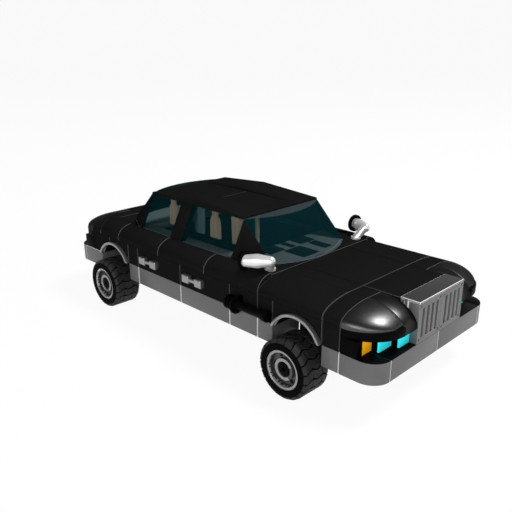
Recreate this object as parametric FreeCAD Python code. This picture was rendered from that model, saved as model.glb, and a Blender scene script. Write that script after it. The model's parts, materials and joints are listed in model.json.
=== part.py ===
import FreeCAD, Part
import os
from math import asin, cos, pi, radians, sin, sqrt
from FreeCAD import Vector

# A brick-built toy hearse. X points forward, Y to the car's left, Z up, in millimetres.
# The origin is on the ground, under the middle of the car. Lengths along the car and across it
# are counted in studs from there, heights in plates above the grey band's top edge.

# Building grid
pitch = 8.0
plate = 3.2
seam = 0.2
end_studs = 12.0
half_width_studs = 5.0
inner_wall_studs = 4.0
deck_edge_studs = 3.0
nose_edge_studs = 2.0
nose_studs = 2.0
band_height = 8.4
band_depth_studs = 2.0
corner_studs = 1.0
sill_joint_studs = (-5, -1, 3, 5)
flank_joint_studs = (-5, -1, 3, 5)
tail_joint_studs = -8
shoulder_joint_studs = (-9, -7, -3, 1, 5, 9)
brick_plates = 3
deck_plates = 5

# Wheels and arches
axle_studs = 7.5
arch_half_studs = 1.5
axle_drop = 12.1
rim_radius = 7.85
tyre_wall = 4.15
tyre_width = 14.0
tyre_lean = 1.2
tyre_proud = 8.0
rim_inset = 0.5
rim_lip = 0.9
rim_dish = 2.6
rim_web = 2.4
rim_wall = 1.25
hub_step = 0.7
hub_ring_width = 1.3
rim_slots = 6
rim_slot_land = 0.15
pin_radius = 2.4
pin_bore_radius = 0.9
pin_bore_depth = 3.0
running_clearance = 0.05
collar_radius = 3.4
collar_gap = 0.3
holder_half_length = 4.0
holder_setback = 2.5
arch_ring_width = 1.3
arch_centre_drop = 5.0
arch_proud = 1.8
arch_seat = 0.6
arch_clearance = 0.05

# Shoulders, domes and nose
shoulder_lip = 1.2
narrow_shoulder_rise = 6.0
slope_height_plates = 3
dome_end_lip = 0.3
dome_end_height = 0.6
dome_front_inset = 0.7
dome_slices = 7
lamp_depth = 0.8
lamp_step = 3.0
lamp_front_setback = 3.0
lamp_shift = 1.3
lamp_wall = 3.1
lamp_wall_proud = 0.3
lamp_plates = 2

# Grille
grille_depth_studs = 1.0
grille_panel_depth = 3.2
grille_rise = 0.4
grille_cap = 0.8
grille_cap_lip = 0.4
grille_rib_setback = 1.6
grille_rib_width = 1.6
grille_slots = 4
grille_slot_width = 1.7
grille_slot_depth = 1.4
grille_border = 1.6
grille_slot_margin = 2.1
grille_overcut = 1.0
grille_hole_radius = 0.6
tailgate_rounding = 0.8
grille_hole_inset = 1.3

# Cabin, in studs along the car
roof_front_studs = 2.0
roof_rear_studs = -6.0
glass_run_studs = 2.0
glass_front_gap = 0.4
glass_wall = 1.6
cabin_height = 16.0
pillar_front_studs = -2.15
pillar_rear_studs = -3.15
pillar_wall = 3.2
cowl_studs = 3.0
roof_edge = 0.8
roof_ridge_height = 3.3
roof_ridge_outer_run = 5.5
roof_ridge_inner_run = 9.5
ridge_facets = 6
floor_plates = 1
dash_tile_height = 0.4
dash_tile_studs = (
    (2.1, 2.95, -1.9, -0.75), (2.1, 2.95, -0.25, 0.1), (2.1, 2.95, 0.6, 1.75),
    (3.1, 4.5, -1.0, 0.25), (3.1, 4.3, 1.0, 1.6),
)

# Curtains
curtain_studs = (-4.7, -2.15, -0.8, 1.0)
curtain_inset = 4.0
curtain_width = 7.6
curtain_height = 10.0
curtain_neck_width = 3.2
curtain_neck_height = 2.4
curtain_slope = 2.0
curtain_thickness = 2.2
corner_curtain_x_studs = 1.4
corner_curtain_y = 11.0
corner_curtain_turn_deg = -45
rail_height = 1.6
rail_width = 1.4

# Outside fittings
mirror_studs = 4.5
mirror_inset = 3.2
mirror_base_radius = 2.3
mirror_base_height = 1.0
mirror_stem_radius = 1.8
mirror_lead = 3.0
mirror_reach = 3.0
mirror_rise = 5.2
mirror_barrel_length = 10.4
mirror_swing_deg = 28.0
mirror_droop_deg = 4.5
mirror_waist_radius = 2.0
mirror_bulge_radius = 2.9
mirror_end_radius = 2.3
mirror_bulge_share = 0.52
mirror_disc_swing_deg = 8.0
mirror_disc_radius = 4.0
mirror_disc_depth = 1.2
handle_studs = (-4.55, -0.55)
handle_length = 12.5
handle_height = 3.6
handle_end = 4.2
handle_waist = 1.8
handle_depth = 2.4
handle_rise = 3.3
handle_rounding = 0.7
bar_rear_studs = 3.3
bar_drum_radius = 2.9
bar_drum_length = 4.4
bar_groove_count = 2
bar_groove_width = 0.9
bar_groove_depth = 0.8
bar_disc_radius = 3.8
bar_disc_length = 1.0
bar_radius = 1.6
bar_length = 16.6
bar_end_radius = 2.2
bar_end_length = 2.2
bar_rise = 4.0

# Places that follow from the sizes above
tyre_radius = rim_radius + tyre_wall
deck_base = tyre_radius + axle_drop
brick_top = deck_base + brick_plates * plate
deck_top = deck_base + deck_plates * plate
roof_base = deck_top + cabin_height
band_base = deck_base - band_height
half_width = half_width_studs * pitch
tyre_face_y = half_width + tyre_proud
inner_wall = inner_wall_studs * pitch
deck_edge = deck_edge_studs * pitch
curtain_y = deck_edge - curtain_inset
mirror_y = inner_wall - mirror_inset
nose_edge = nose_edge_studs * pitch
nose_length = nose_studs * pitch
nose_start_studs = end_studs - nose_studs
well_near_studs = axle_studs - arch_half_studs
well_far_studs = axle_studs + arch_half_studs
arch_outer_radius = sqrt((arch_half_studs * pitch) ** 2 + arch_centre_drop ** 2)
arch_inner_radius = arch_outer_radius - arch_ring_width
glass_bulge = (cowl_studs - glass_run_studs) * pitch - glass_front_gap
roof_middle_studs = (roof_front_studs + roof_rear_studs) / 2
shelf_base = deck_base + lamp_plates * plate
slope_height = slope_height_plates * plate
rim_barrel_radius = rim_radius - rim_wall
rim_ring_inner = pin_radius + hub_step
rim_ring_outer = rim_ring_inner + hub_ring_width
rim_slot_radius = (rim_barrel_radius - rim_ring_outer) / 2 - rim_slot_land


def box(x0, x1, y0, y1, z0, z1):
    return Part.makeBox(x1 - x0, y1 - y0, z1 - z0, Vector(x0, y0, z0))


def brick(a, b, y0, y1, z0, z1):
    """A straight brick from stud a to stud b, half a seam short at each end."""
    return box(a * pitch + seam / 2, b * pitch - seam / 2, y0, y1, z0, z1)


def spans_between(start, joints, end):
    """The spans, in studs, of a row of bricks from start to end that meet at the joints."""
    marks = [start] + list(joints) + [end]
    return list(zip(marks, marks[1:]))


def rounded_block(x0, x1, y0, y1, z0, z1, radius):
    """A block whose front outer corner is round, seen from above."""
    bend = Vector(x1 - radius, y0 + radius, z0)
    turn = Vector(x1 - radius * (1 - sin(pi / 4)), y0 + radius * (1 - sin(pi / 4)), z0)
    first = Vector(bend.x, y0, z0)
    last = Vector(x1, bend.y, z0)
    edges = [
        Part.makeLine(Vector(x0, y0, z0), first), Part.Arc(first, turn, last).toShape(),
        Part.makeLine(last, Vector(x1, y1, z0)), Part.makeLine(Vector(x1, y1, z0), Vector(x0, y1, z0)),
        Part.makeLine(Vector(x0, y1, z0), Vector(x0, y0, z0)),
    ]
    return Part.Face(Part.Wire(edges)).extrude(Vector(0, 0, z1 - z0))


def cylinder(radius, length, start, direction):
    return Part.makeCylinder(radius, length, start, direction)


def prism_x(points, x0, x1):
    """Extrudes an outline of (y, z) points along the car."""
    wire = Part.makePolygon([Vector(x0, y, z) for y, z in points + points[:1]])
    return Part.Face(wire).extrude(Vector(x1 - x0, 0, 0))


def solid_of(faces):
    """Sews triangles and quads, given as lists of points, into one solid."""
    skins = [Part.Face(Part.makePolygon(points + points[:1])) for points in faces]
    shell = Part.Shell(skins)
    shell.sewShape()
    return Part.Solid(shell)


def other_side(shape):
    return shape.mirror(Vector(0, 0, 0), Vector(0, 1, 0))


def other_end(shape):
    return shape.mirror(Vector(0, 0, 0), Vector(1, 0, 0))


def both_sides(shapes):
    return shapes + [other_side(shape) for shape in shapes]


def both_ends(shapes):
    return shapes + [other_end(shape) for shape in shapes]


def mirrored_about_cabin(shape):
    return shape.mirror(Vector(roof_middle_studs * pitch, 0, 0), Vector(1, 0, 0))


def save(name, shapes):
    """Writes one node: a single solid, or like solids that don't touch."""
    solid = shapes[0] if len(shapes) == 1 else Part.makeCompound(shapes)
    solid.exportStep(os.path.join("parts", name + ".step"))


# The chassis is a long plate, with a deeper cross block below it at each axle
def chassis():
    plate_x = nose_start_studs * pitch
    return box(-plate_x, plate_x, -deck_edge, deck_edge, deck_base - plate, deck_base)


def axle_block():
    return brick(
        well_near_studs, well_far_studs, -deck_edge, deck_edge, band_base, deck_base - plate
    )


# Wheel well walls stand between the wells and the middle of the car
def wheel_well_walls():
    wall = brick(
        well_near_studs, well_far_studs,
        -deck_edge, -deck_edge + pitch, deck_base + floor_plates * plate, brick_top,
    )
    return both_ends(both_sides([wall]))


# Grey side bricks of the lower band
def sills():
    band_inner = half_width - band_depth_studs * pitch
    side_end = end_studs - corner_studs
    spans = spans_between(-well_near_studs, sill_joint_studs, well_near_studs)
    spans += [(-side_end, -well_far_studs), (well_far_studs, nose_start_studs)]
    return [brick(a, b, -half_width, -band_inner, band_base, deck_base) for a, b in spans]


# Grey bumper bricks: rounded corners and two long beams
def bumper(depth_studs):
    beam_edge = half_width - corner_studs * pitch
    start = (end_studs - depth_studs) * pitch + seam / 2
    face = end_studs * pitch
    corner = rounded_block(
        start, face, -half_width, -beam_edge - seam / 2, band_base, deck_base,
        corner_studs * pitch - seam,
    )
    beam = box(start, face, -beam_edge + seam / 2, -seam / 2, band_base, deck_base)
    return both_sides([corner, beam])


# Black bricks of the lower flank, cut round above each wheel, with a shallow seat for the trim
def flank():
    joints = [tail_joint_studs, -well_near_studs] + list(flank_joint_studs)
    joints += [well_near_studs, well_far_studs]
    spans = spans_between(-nose_start_studs, joints, nose_start_studs)
    bricks = [brick(a, b, -half_width, -inner_wall, deck_base, brick_top) for a, b in spans]
    hole = arch_cylinder(arch_inner_radius, half_width)
    seat = arch_cylinder(arch_outer_radius + arch_clearance, arch_seat)
    return [shape.cut(both_ends([hole, seat])) for shape in bricks]


def arch_cylinder(radius, depth):
    """A cylinder through the front arch, from well outside the flank to a depth behind its face."""
    start = Vector(axle_studs * pitch, -half_width - pitch, deck_base - arch_centre_drop)
    return cylinder(radius, pitch + depth, start, Vector(0, 1, 0))


# Bright half rings stand out from the flank round the arches
def arch_trims():
    x = axle_studs * pitch
    ring = arch_cylinder(arch_outer_radius, arch_seat).cut(arch_cylinder(arch_inner_radius, arch_seat))
    keep = box(
        x - arch_outer_radius, x + arch_outer_radius,
        -half_width - arch_proud, -inner_wall, deck_base, brick_top,
    )
    return both_ends(both_sides([ring.common(keep)]))


def slope_profile(x, inner, run, rise, lip):
    """The cross section of a curved slope at x: a low lip, then a quarter ellipse up to the deck."""
    outer = inner - run
    low = Vector(x, outer, brick_top)
    lip_top = Vector(x, outer, brick_top + lip)
    inner_top = Vector(x, inner, brick_top + lip + rise)
    inner_low = Vector(x, inner, brick_top)
    centre = Vector(x, inner, brick_top + lip)
    if run > rise:
        ellipse = Part.Ellipse(lip_top, inner_top, centre)
    else:
        ellipse = Part.Ellipse(inner_top, lip_top, centre)
    ends = sorted(ellipse.parameter(point) for point in (lip_top, inner_top))
    arc = ellipse.toShape(ends[0], ends[1])
    if arc.BoundBox.YMin > outer + 1e-3 or arc.BoundBox.ZMin < brick_top + lip - 1e-3:
        arc = ellipse.toShape(ends[1], ends[0] + 2 * pi)
    edges = [Part.makeLine(low, lip_top), arc, Part.makeLine(inner_top, inner_low)]
    return Part.Wire(Part.sortEdges(edges + [Part.makeLine(inner_low, low)])[0])


# Curved black bricks of the shoulder: wide beside the decks, narrow beside the cabin
def shoulder():
    wide_rise = deck_top - brick_top - shoulder_lip
    bricks = []
    for a, b in spans_between(-nose_start_studs, shoulder_joint_studs, nose_start_studs):
        beside_cabin = a >= -9 and b <= 5
        inner = inner_wall if beside_cabin else deck_edge
        rise = narrow_shoulder_rise if beside_cabin else wide_rise
        outline = slope_profile(a * pitch + seam / 2, -inner, half_width - inner, rise, shoulder_lip)
        bricks.append(Part.Face(outline).extrude(Vector((b - a) * pitch - seam, 0, 0)))
    return bricks


# Fender domes close the shoulder at each corner of the car. Each slice across a dome is a
# slope profile that gets lower and narrower towards the front.
def fender_dome():
    base = deck_top - slope_height
    reach = nose_length * sqrt(1 - ((brick_top + dome_end_height - base) / slope_height) ** 2)
    first = seam / 2
    last_turn = asin(reach / nose_length)
    slices = []
    for n in range(dome_slices):
        forward = max(first, nose_length * sin(last_turn * n / (dome_slices - 1)))
        top = base + slope_height * sqrt(1 - (forward / nose_length) ** 2)
        run = (half_width - deck_edge) * sqrt(1 - (forward / (nose_length - dome_front_inset)) ** 2)
        lip = shoulder_lip + (dome_end_lip - shoulder_lip) * forward / reach
        x = nose_start_studs * pitch + forward
        slices.append(slope_profile(x, -deck_edge, run, top - brick_top - lip, lip))
    return Part.makeLoft(slices, True, False)


# Nose slopes stand between the domes and the grille
def nose_slope():
    x0 = nose_start_studs * pitch + seam / 2
    base = deck_top - slope_height
    ball = cylinder(nose_length, deck_edge - nose_edge, Vector(0, 0, 0), Vector(0, 1, 0))
    stretch = FreeCAD.Matrix()
    stretch.scale(1, 1, slope_height / nose_length)
    ball = ball.transformGeometry(stretch)
    ball.translate(Vector(x0 - seam / 2, -deck_edge, base))
    keep = box(x0, end_studs * pitch, -deck_edge + seam / 2, -nose_edge - seam / 2, base, deck_top)
    return ball.common(keep)


# A rounded shelf plate lies over the lamps at each corner
def lamp_shelf():
    return rounded_block(
        nose_start_studs * pitch + seam / 2, end_studs * pitch, -half_width, -deck_edge,
        shelf_base, brick_top, nose_length - seam,
    )


def lamp_face(step):
    """How far forward the lamp on a given step stands; step 0 is beside the grille."""
    return end_studs * pitch - lamp_front_setback - step * lamp_step


def lamp_edge(step):
    """How far out the outer edge of the lamp on a given step lies."""
    return min(nose_edge + (step + 1) * pitch - lamp_shift, half_width - lamp_wall)


def lamp(step):
    x = lamp_face(step)
    inner = lamp_edge(step - 1) if step > 0 else nose_edge
    return box(
        x - lamp_depth, x, -lamp_edge(step) + seam / 2, -inner - seam / 2, deck_base, shelf_base
    )


# Black stepped blocks carry the thin lamps, with a wall beside the outer lamp, and a middle
# block fills the nose behind the grille
def end_core():
    start = nose_start_studs * pitch + seam
    steps = []
    for step in range(3):
        steps.append(
            box(
                start, lamp_face(step) - lamp_depth, -lamp_edge(step), -nose_edge,
                deck_base, shelf_base,
            )
        )
    wall = box(
        start, lamp_face(2) + lamp_wall_proud, -half_width, -half_width + lamp_wall,
        deck_base, shelf_base,
    )
    grille_back = (end_studs - grille_depth_studs) * pitch
    middle = box(start, grille_back, -nose_edge, 0, deck_base, deck_top - plate)
    half = steps[0].fuse(steps[1:] + [wall, middle])
    return half.fuse(other_side(half)).removeSplitter()


# The bonnet and the rear deck are flat plates with long side strips
def bonnet():
    low = deck_top - plate
    strip = -nose_edge - seam / 2
    grille_back = end_studs - grille_depth_studs
    centre = [
        brick(roof_front_studs + cowl_studs, 9, -nose_edge + seam / 2, nose_edge - seam / 2, low, deck_top),
        brick(9, grille_back, -nose_edge + seam / 2, nose_edge - seam / 2, low, deck_top),
    ]
    sides = [
        brick(roof_front_studs + cowl_studs, 9, -deck_edge, strip, low, deck_top),
        brick(9, nose_start_studs, -deck_edge, strip, low, deck_top),
    ]
    return centre + both_sides(sides)


def rear_deck():
    low = deck_top - plate
    back = end_studs - grille_depth_studs
    centre = [brick(-back, -9, -nose_edge + seam / 2, nose_edge - seam / 2, low, deck_top)]
    sides = [brick(-nose_start_studs, -9, -deck_edge, -nose_edge - seam / 2, low, deck_top)]
    return centre + both_sides(sides)


def glass_radius():
    return (deck_edge ** 2 + glass_bulge ** 2) / (2 * glass_bulge)


def glass_line(z):
    """Where the straight chord of the windscreen lies at a height."""
    fall = (roof_base - z) / cabin_height
    return (roof_front_studs + fall * glass_run_studs) * pitch


def screen_section(z, radius, back):
    """A D-shaped section of the windscreen, its arc bulging forward of the chord."""
    chord = glass_line(z)
    centre = chord + glass_bulge - glass_radius()
    reach = sqrt(radius ** 2 - (chord - centre) ** 2)
    left = Vector(chord, reach, z)
    right = Vector(chord, -reach, z)
    arc = Part.Arc(right, Vector(centre + radius, 0, z), left).toShape()
    back_left = Vector(chord - back, reach, z)
    back_right = Vector(chord - back, -reach, z)
    lines = [Part.makeLine(back_left, back_right)]
    if back > 0:
        lines = [Part.makeLine(left, back_left)] + lines + [Part.makeLine(back_right, right)]
    return Part.Wire([arc] + lines)


# The windscreen is one clear curved moulding with a flat D-shaped top
def windscreen():
    radius = glass_radius()
    outer = Part.makeLoft(
        [screen_section(deck_top, radius, 0), screen_section(roof_base, radius, 0)], True, True
    )
    inner = Part.makeLoft(
        [
            screen_section(deck_top - glass_wall, radius - glass_wall, pitch),
            screen_section(roof_base - glass_wall, radius - glass_wall, pitch),
        ],
        True, True,
    )
    return outer.cut(inner)


# Black cowls and pale shelves meet along the foot of the windscreen
def screen_footprint():
    """The area inside the cabin at deck height, in front of the roof's front edge."""
    radius = glass_radius()
    section = screen_section(deck_top, radius, 0)
    front = Part.Face(section)
    side = roof_front_studs * pitch
    foot = glass_line(deck_top)
    corners = [
        Vector(side, -inner_wall, deck_top), Vector(foot, -deck_edge, deck_top),
        Vector(foot, deck_edge, deck_top), Vector(side, inner_wall, deck_top),
    ]
    back = Part.Face(Part.makePolygon(corners + corners[:1]))
    down = Vector(0, 0, -plate)
    return back.extrude(down).fuse(front.extrude(down)).removeSplitter()


def dash():
    return screen_footprint()


def cowl():
    reach = roof_front_studs + cowl_studs
    block = box(
        roof_front_studs * pitch, reach * pitch - seam / 2,
        -inner_wall, inner_wall, deck_top - plate, deck_top,
    )
    return block.cut(screen_footprint())


# Dark tiles on the shelf under the windscreen
def dash_tiles():
    high = deck_top + dash_tile_height
    return [
        box(a * pitch, b * pitch, left * pitch, right * pitch, deck_top, high)
        for a, b, left, right in dash_tile_studs
    ]


def pane(a, b, wall):
    """A side pane or pillar that leans in towards the roof."""
    outline = [
        (-inner_wall, deck_top), (-deck_edge, roof_base),
        (-deck_edge + wall, roof_base), (-inner_wall + wall, deck_top),
    ]
    return prism_x(outline, a * pitch, b * pitch)


def side_glass():
    rear = pane(roof_rear_studs, pillar_rear_studs, glass_wall)
    front = pane(pillar_front_studs, roof_front_studs, glass_wall)
    return both_sides([rear, front])


# Black pillars: an upright one between the panes and a leaning triangle at each corner
def pillars():
    middle = pane(pillar_rear_studs, pillar_front_studs, pillar_wall)
    top = Vector(roof_front_studs * pitch, -deck_edge, roof_base)
    back = Vector(roof_front_studs * pitch, -inner_wall, deck_top)
    foot = Vector(glass_line(deck_top), -deck_edge, deck_top)
    outward = (foot - top).cross(back - top)
    outward.normalize()
    if outward.y > 0:
        outward = outward * -1
    panel = Part.Face(Part.makePolygon([top, back, foot, top])).extrude(outward * -glass_wall)
    keep = box(top.x, foot.x, -inner_wall, 0, deck_top, roof_base)
    front = panel.common(keep)
    return both_sides([middle, front, mirrored_about_cabin(front)])


# Each half of the roof is a thin plate that carries two low ridges
def roof_half():
    x0 = roof_middle_studs * pitch + seam / 2
    x1 = roof_front_studs * pitch
    slab = box(x0, x1, -deck_edge, deck_edge, roof_base, roof_base + roof_edge)
    ridge = roof_ridge(x0, x1)
    return slab.fuse([ridge, other_side(ridge)]).removeSplitter()


def roof_ridge(x0, x1):
    low = roof_base + roof_edge
    crest_y = -deck_edge + roof_ridge_outer_run
    inner_y = crest_y + roof_ridge_inner_run
    outer_corner = Vector(x1, -deck_edge, low)
    inner_corner = Vector(x1, inner_y, low)
    turn = [pi / 2 * n / ridge_facets for n in range(ridge_facets + 1)]
    outer = [
        Vector(x0, crest_y - roof_ridge_outer_run * cos(a), low + roof_ridge_height * sin(a))
        for a in turn
    ]
    inner = [
        Vector(x0, crest_y + roof_ridge_inner_run * cos(a), low + roof_ridge_height * sin(a))
        for a in turn
    ]
    faces = []
    for edge, corner in ((outer, outer_corner), (inner, inner_corner)):
        for first, second in zip(edge, edge[1:]):
            faces.append([first, second, corner])
    faces.append([outer[-1], outer_corner, inner_corner])
    faces.append(outer + inner[-2::-1])
    faces.append([outer[0], inner[0], inner_corner, outer_corner])
    return solid_of(faces)


# A flat floor plate, and the pale ledges under the side windows
def cabin_floor():
    high = deck_base + floor_plates * plate
    spans = [(-nose_start_studs, roof_front_studs - 1), (roof_front_studs - 1, nose_start_studs)]
    return [brick(a, b, -deck_edge, deck_edge, deck_base, high) for a, b in spans]


def window_ledges():
    low = deck_top - plate
    ledge = box(
        roof_rear_studs * pitch, roof_front_studs * pitch, -inner_wall, -deck_edge, low, deck_top
    )
    return both_sides([ledge])


# Curtains hang from a rail under the roof: a gathered neck and a wider fall of cloth
def curtain(x, y, turned):
    top = roof_base - rail_height
    neck_base = top - curtain_neck_height
    base = neck_base - curtain_height
    half = curtain_width / 2
    neck = curtain_neck_width / 2
    outline = [
        Vector(-half, 0, base), Vector(half, 0, base), Vector(half, 0, neck_base - curtain_slope),
        Vector(neck, 0, neck_base), Vector(neck, 0, top), Vector(-neck, 0, top),
        Vector(-neck, 0, neck_base), Vector(-half, 0, neck_base - curtain_slope),
    ]
    face = Part.Face(Part.makePolygon(outline + outline[:1]))
    face.translate(Vector(0, -curtain_thickness / 2, 0))
    solid = face.extrude(Vector(0, curtain_thickness, 0))
    solid.rotate(Vector(0, 0, 0), Vector(0, 0, 1), turned)
    solid.translate(Vector(x, y, 0))
    return solid


def curtains():
    side = [curtain(s * pitch, -curtain_y, 0) for s in curtain_studs]
    return side + [curtain(corner_curtain_x_studs * pitch, -corner_curtain_y, corner_curtain_turn_deg)]


def curtain_rail():
    low = roof_base - rail_height
    x0 = roof_rear_studs * pitch + pitch / 2
    x1 = roof_front_studs * pitch
    half = rail_width / 2
    cross_x = corner_curtain_x_studs * pitch
    side = box(x0, x1, -curtain_y - half, -curtain_y + half, low, roof_base)
    end = box(cross_x - half, cross_x + half, -curtain_y, 0, low, roof_base)
    return side.fuse(end).removeSplitter()


# Door mirrors: a bright tap-shaped arm with a round dark disc on its end
def mirror_elbow():
    x = mirror_studs * pitch + mirror_lead
    return Vector(x, -mirror_y - mirror_reach, deck_top + mirror_rise)


def mirror_direction():
    """The way that the barrel of the right mirror points: back, outwards and a little down."""
    swing = radians(mirror_swing_deg)
    droop = radians(mirror_droop_deg)
    return Vector(-cos(swing) * cos(droop), -sin(swing) * cos(droop), -sin(droop))


def mirror_arm():
    foot = Vector(mirror_studs * pitch, -mirror_y, deck_top)
    base = cylinder(mirror_base_radius, mirror_base_height, foot, Vector(0, 0, 1))
    elbow = mirror_elbow()
    lean = elbow - foot
    start = foot + Vector(0, 0, mirror_base_height / 2)
    stem = cylinder(mirror_stem_radius, lean.Length, start, lean)
    bend = Part.makeSphere(mirror_waist_radius, elbow)
    along = mirror_direction()
    to_bulge = mirror_barrel_length * mirror_bulge_share
    bulge = elbow + along * to_bulge
    to_end = mirror_barrel_length + mirror_disc_depth - to_bulge
    barrel = [
        Part.makeCone(mirror_waist_radius, mirror_bulge_radius, to_bulge, elbow, along),
        Part.makeCone(mirror_bulge_radius, mirror_end_radius, to_end, bulge, along),
    ]
    above = box(
        foot.x - mirror_barrel_length, foot.x + pitch, elbow.y - mirror_barrel_length, 0,
        deck_top, roof_base,
    )
    arm = base.fuse([stem, bend] + barrel).removeSplitter().common(above)
    return arm.cut(mirror_plate(mirror_disc_radius, pitch))


def mirror_plate(radius, depth):
    """A round plate from the disc's front face backwards. The disc looks almost straight back."""
    swing = radians(mirror_disc_swing_deg)
    start = mirror_elbow() + mirror_direction() * mirror_barrel_length
    return cylinder(radius, depth, start, Vector(-cos(swing), -sin(swing), 0))


def mirror_disc():
    return mirror_plate(mirror_disc_radius, mirror_disc_depth)


# Door handles: a waisted grip with a block at each end
def door_handle(rear_studs):
    x0 = rear_studs * pitch
    x1 = x0 + handle_length
    low = deck_base + handle_rise
    high = low + handle_height
    y0 = -half_width - handle_depth
    middle = (low + high) / 2
    ends = [
        box(x0, x0 + handle_end, y0, -half_width, low, high),
        box(x1 - handle_end, x1, y0, -half_width, low, high),
    ]
    rounded = []
    for end in ends:
        front_edges = [edge for edge in end.Edges if edge.BoundBox.YMax < y0 + handle_rounding / 2]
        rounded.append(end.makeFillet(handle_rounding, front_edges))
    waist = cylinder(
        handle_waist / 2, handle_length - handle_end,
        Vector(x0 + handle_end / 2, y0 + handle_depth / 2, middle), Vector(1, 0, 0),
    )
    return rounded[0].fuse([rounded[1], waist]).removeSplitter()


# A dark bar lies along the flank just behind the front wheel: a grooved drum, a disc, a rod and
# a knob at its front end. The disc is flat where it meets the flank.
def side_bar():
    start = Vector(bar_rear_studs * pitch, -half_width - bar_drum_radius, deck_base + bar_rise)
    along = Vector(1, 0, 0)
    drum = cylinder(bar_drum_radius, bar_drum_length, start, along)
    spacing = bar_drum_length / (bar_groove_count + 1)
    for groove in range(bar_groove_count):
        place = start + along * ((groove + 1) * spacing - bar_groove_width / 2)
        ring = cylinder(bar_drum_radius, bar_groove_width, place, along)
        core = cylinder(bar_drum_radius - bar_groove_depth, bar_groove_width, place, along)
        drum = drum.cut(ring.cut(core))
    disc = cylinder(bar_disc_radius, bar_disc_length, start + along * bar_drum_length, along)
    behind = box(
        start.x, start.x + pitch, -half_width, -inner_wall, deck_base, brick_top
    )
    rod_length = bar_drum_length + bar_disc_length + bar_length
    rod = cylinder(bar_radius, rod_length, start, along)
    knob = cylinder(bar_end_radius, bar_end_length, start + along * (rod_length - bar_end_length), along)
    return drum.fuse([disc.cut(behind), rod, knob]).removeSplitter()


# The grille: a bright box with a thin cap and two slatted panels in front
def grille_box():
    back = (end_studs - grille_depth_studs) * pitch
    face = end_studs * pitch - grille_panel_depth
    high = deck_top + grille_rise
    waist = nose_edge - grille_cap_lip
    solid = box(back, face, -waist, waist, deck_base, high - grille_cap)
    cap = box(back, end_studs * pitch, -nose_edge, nose_edge, high - grille_cap, high)
    rib_back = back + grille_rib_setback
    rib = box(
        rib_back, rib_back + grille_rib_width, -nose_edge, nose_edge, deck_base, high - grille_cap
    )
    return solid.fuse([cap, rib]).removeSplitter()


def grille_panel():
    face = end_studs * pitch
    back = face - grille_panel_depth
    high = deck_top + grille_rise - grille_cap
    panel = box(back, face, -nose_edge, -seam / 2, deck_base, high)
    width = nose_edge - seam / 2
    spacing = (width - 2 * grille_border) / grille_slots
    cuts = []
    for n in range(grille_slots):
        middle = -nose_edge + grille_border + (n + 0.5) * spacing
        cuts.append(
            box(
                face - grille_slot_depth, face + grille_overcut,
                middle - grille_slot_width / 2, middle + grille_slot_width / 2,
                deck_base + grille_slot_margin, high - grille_slot_margin,
            )
        )
    for y in (-nose_edge + grille_hole_inset, -seam / 2 - grille_hole_inset):
        for z in (deck_base + grille_hole_inset, high - grille_hole_inset):
            start = Vector(face - grille_slot_depth, y, z)
            depth = grille_slot_depth + grille_overcut
            cuts.append(cylinder(grille_hole_radius, depth, start, Vector(1, 0, 0)))
    return panel.cut(cuts)


# The plain black tailgate stands where the nose has its grille
def tailgate_panel():
    back = (end_studs - grille_depth_studs) * pitch
    panel = box(-end_studs * pitch, -back, -nose_edge, -seam / 2, deck_base, deck_top)
    outer_edges = [
        edge for edge in panel.Edges if edge.BoundBox.XMax < -end_studs * pitch + tailgate_rounding / 2
    ]
    return panel.makeFillet(tailgate_rounding, outer_edges)


# Wheel holders: an arm below the chassis with the pin that a wheel turns on
def wheel_holder():
    x = axle_studs * pitch
    rim_back = tyre_face_y - tyre_width + rim_inset
    arm_face = rim_back - holder_setback
    arm = box(
        x - holder_half_length, x + holder_half_length, -arm_face, -deck_edge,
        tyre_radius - holder_half_length, deck_base - plate,
    )
    out = Vector(0, -1, 0)
    collar = cylinder(
        collar_radius, rim_back - collar_gap - arm_face, Vector(x, -arm_face, tyre_radius), out
    )
    pin_end = tyre_face_y - rim_inset - rim_lip
    pin = cylinder(pin_radius, pin_end - arm_face, Vector(x, -arm_face, tyre_radius), out)
    bore = cylinder(
        pin_bore_radius, pin_bore_depth, Vector(x, -pin_end + pin_bore_depth, tyre_radius), out
    )
    return arm.fuse([collar, pin]).cut(bore).removeSplitter()


def turned(points, x, side):
    """Revolves an outline of (radius, distance from the car's middle) about an axle."""
    outline = [Vector(x + r, side * y, tyre_radius) for r, y in points]
    face = Part.Face(Part.makePolygon(outline + outline[:1]))
    return face.revolve(Vector(x, 0, tyre_radius), Vector(0, 1, 0), 360)


# Rims: a barrel, a web with round slots and a raised ring about the pin
def rim(x, side):
    face = tyre_face_y - rim_inset
    back = tyre_face_y - tyre_width + rim_inset
    dish = face - rim_dish
    web = dish - rim_web
    bore = pin_radius + running_clearance
    outline = [
        (bore, back), (rim_ring_outer, back), (rim_ring_outer, web), (rim_barrel_radius, web),
        (rim_barrel_radius, back), (rim_radius, back), (rim_radius, face),
        (rim_radius - rim_lip, face), (rim_barrel_radius, dish), (rim_ring_outer, dish),
        (rim_ring_outer, face - rim_lip), (rim_ring_inner, face - rim_lip),
        (bore, face - rim_dish),
    ]
    solid = turned(outline, x, side)
    middle = (rim_ring_outer + rim_barrel_radius) / 2
    holes = []
    for n in range(rim_slots):
        angle = 2 * pi * n / rim_slots
        start = Vector(x + middle * cos(angle), side * web, tyre_radius + middle * sin(angle))
        holes.append(cylinder(rim_slot_radius, rim_web, start, Vector(0, side, 0)))
    return solid.cut(holes)


# Tyres: a plain tread between side walls that lean in a little towards it
def tyre(x, side):
    face = tyre_face_y
    back = tyre_face_y - tyre_width
    bore = rim_radius + running_clearance
    outline = [
        (bore, back), (tyre_radius, back + tyre_lean), (tyre_radius, face - tyre_lean), (bore, face),
    ]
    return turned(outline, x, side)


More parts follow.
